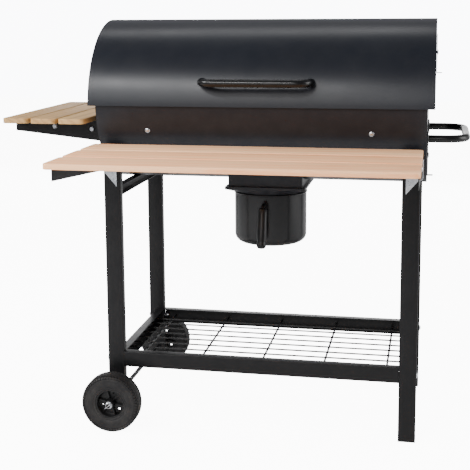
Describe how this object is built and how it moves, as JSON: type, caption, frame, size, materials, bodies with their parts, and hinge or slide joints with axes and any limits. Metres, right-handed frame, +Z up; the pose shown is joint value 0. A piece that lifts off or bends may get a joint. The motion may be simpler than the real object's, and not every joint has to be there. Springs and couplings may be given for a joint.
{
  "type": "barrel charcoal grill",
  "caption": "Barrel charcoal grill with hinged half-round lid, wheeled steel stand, wooden front and side shelves, wire shelf, ash bucket and push handle.",
  "frame": {"origin": "on the ground, at the middle of the object's box in X and Y", "axes": "+X along the barrel towards the push handle, +Y towards the hinges at the back, +Z up"},
  "size_m": [1.0572, 0.7926, 0.9499],
  "materials": {
    "lid_paint": "satin charcoal heat-proof paint, fine texture",
    "bowl_paint": "matt black heat-proof paint",
    "frame_paint": "satin black powder coat",
    "handle_gloss": "gloss black enamel",
    "front_wood": "oiled reddish hardwood boards",
    "side_wood": "oiled yellowish hardwood boards",
    "zinc": "bright zinc plate",
    "bucket_paint": "semi-gloss black enamel",
    "grip_plastic": "satin black moulded plastic",
    "grate_chrome": "chromed wire",
    "charcoal_iron": "bare dark steel rod",
    "shelf_wire": "black coated wire",
    "tyre": "moulded solid rubber",
    "rim_plastic": "moulded black plastic"
  },
  "bodies": {
    "frame": {"arm_stays": "zinc", "ash_hopper": "bowl_paint", "axle": "frame_paint", "axle_spacers": "frame_paint", "bowl_bolts": "zinc", "bowl_damper_rivet": "zinc", "bowl_end_left": "bowl_paint", "bowl_end_right": "bowl_paint", "bowl_saddles": "bowl_paint", "bowl_shell": "bowl_paint", "frame_bolts": "zinc", "front_arm_left": "frame_paint", "front_arm_right": "frame_paint", "front_board_1": "front_wood", "front_board_2": "front_wood", "front_board_3": "front_wood", "grate_ledge_front": "bowl_paint", "grate_ledge_rear": "bowl_paint", "hinge_leaves_bowl": "bowl_paint", "hinge_pins": "zinc", "hub_nuts": "zinc", "leg_caps": "grip_plastic", "leg_front_left": "frame_paint", "leg_front_right": "frame_paint", "leg_rear_left": "frame_paint", "leg_rear_right": "frame_paint", "lower_rail_left": "frame_paint", "lower_rail_right": "frame_paint", "push_handle": "handle_gloss", "shelf_beam_front": "frame_paint", "shelf_beam_rear": "frame_paint", "side_arm_front": "frame_paint", "side_arm_rear": "frame_paint", "side_board_1": "side_wood", "side_board_2": "side_wood", "side_board_3": "side_wood", "side_brackets": "frame_paint", "table_screws": "zinc", "tool_hook": "zinc", "upper_rail_left": "frame_paint", "upper_rail_right": "frame_paint", "wire_shelf": "shelf_wire"},
    "lid": {"lid_shell": "lid_paint", "lid_end_left": "lid_paint", "lid_end_right": "lid_paint", "lid_handle": "handle_gloss", "lid_screws": "zinc", "lid_damper_rivet": "zinc", "hinge_leaves_lid": "lid_paint"},
    "lid_damper": {"lid_damper": "lid_paint"},
    "bowl_damper": {"bowl_damper": "bowl_paint"},
    "cooking_grate_left": {"cooking_grate_left": "grate_chrome"},
    "cooking_grate_right": {"cooking_grate_right": "grate_chrome"},
    "charcoal_grate": {"charcoal_grate": "charcoal_iron"},
    "ash_bucket": {"ash_bucket": "bucket_paint", "bucket_handle": "grip_plastic"},
    "wheel_front": {"tyre_front": "tyre", "wheel_rim_front": "rim_plastic"},
    "wheel_rear": {"tyre_rear": "tyre", "wheel_rim_rear": "rim_plastic"}
  },
  "joints": [
    {"name": "lid_hinge", "type": "hinge", "parent": "frame", "child": "lid", "pos_m": [0.06185, 0.34574, 0.752], "axis": [-1, 0, 0], "range_deg": [0, 95]},
    {"name": "lid_damper_turn", "type": "hinge", "parent": "lid", "child": "lid_damper", "pos_m": [0.45135, 0.12775, 0.872], "axis": [1, 0, 0], "range_deg": [0, 45]},
    {"name": "bowl_damper_turn", "type": "hinge", "parent": "frame", "child": "bowl_damper", "pos_m": [0.43485, 0.12775, 0.632], "axis": [1, 0, 0], "range_deg": [0, 45]},
    {"name": "grate_left_lift", "type": "slide", "parent": "frame", "child": "cooking_grate_left", "axis": [0, 0, 1], "range_m": [0, 0.11]},
    {"name": "grate_right_lift", "type": "slide", "parent": "frame", "child": "cooking_grate_right", "axis": [0, 0, 1], "range_m": [0, 0.11]},
    {"name": "charcoal_grate_lift", "type": "slide", "parent": "frame", "child": "charcoal_grate", "axis": [0, 0, 1], "range_m": [0, 0.07]},
    {"name": "bucket_drop", "type": "slide", "parent": "frame", "child": "ash_bucket", "axis": [0, 0, -1], "range_m": [0, 0.2]},
    {"name": "wheel_front_spin", "type": "hinge", "parent": "frame", "child": "wheel_front", "pos_m": [-0.2757, -0.10825, 0.0686], "axis": [0, 1, 0], "continuous": true},
    {"name": "wheel_rear_spin", "type": "hinge", "parent": "frame", "child": "wheel_rear", "pos_m": [-0.2757, 0.36375, 0.0686], "axis": [0, 1, 0], "continuous": true}
  ]
}
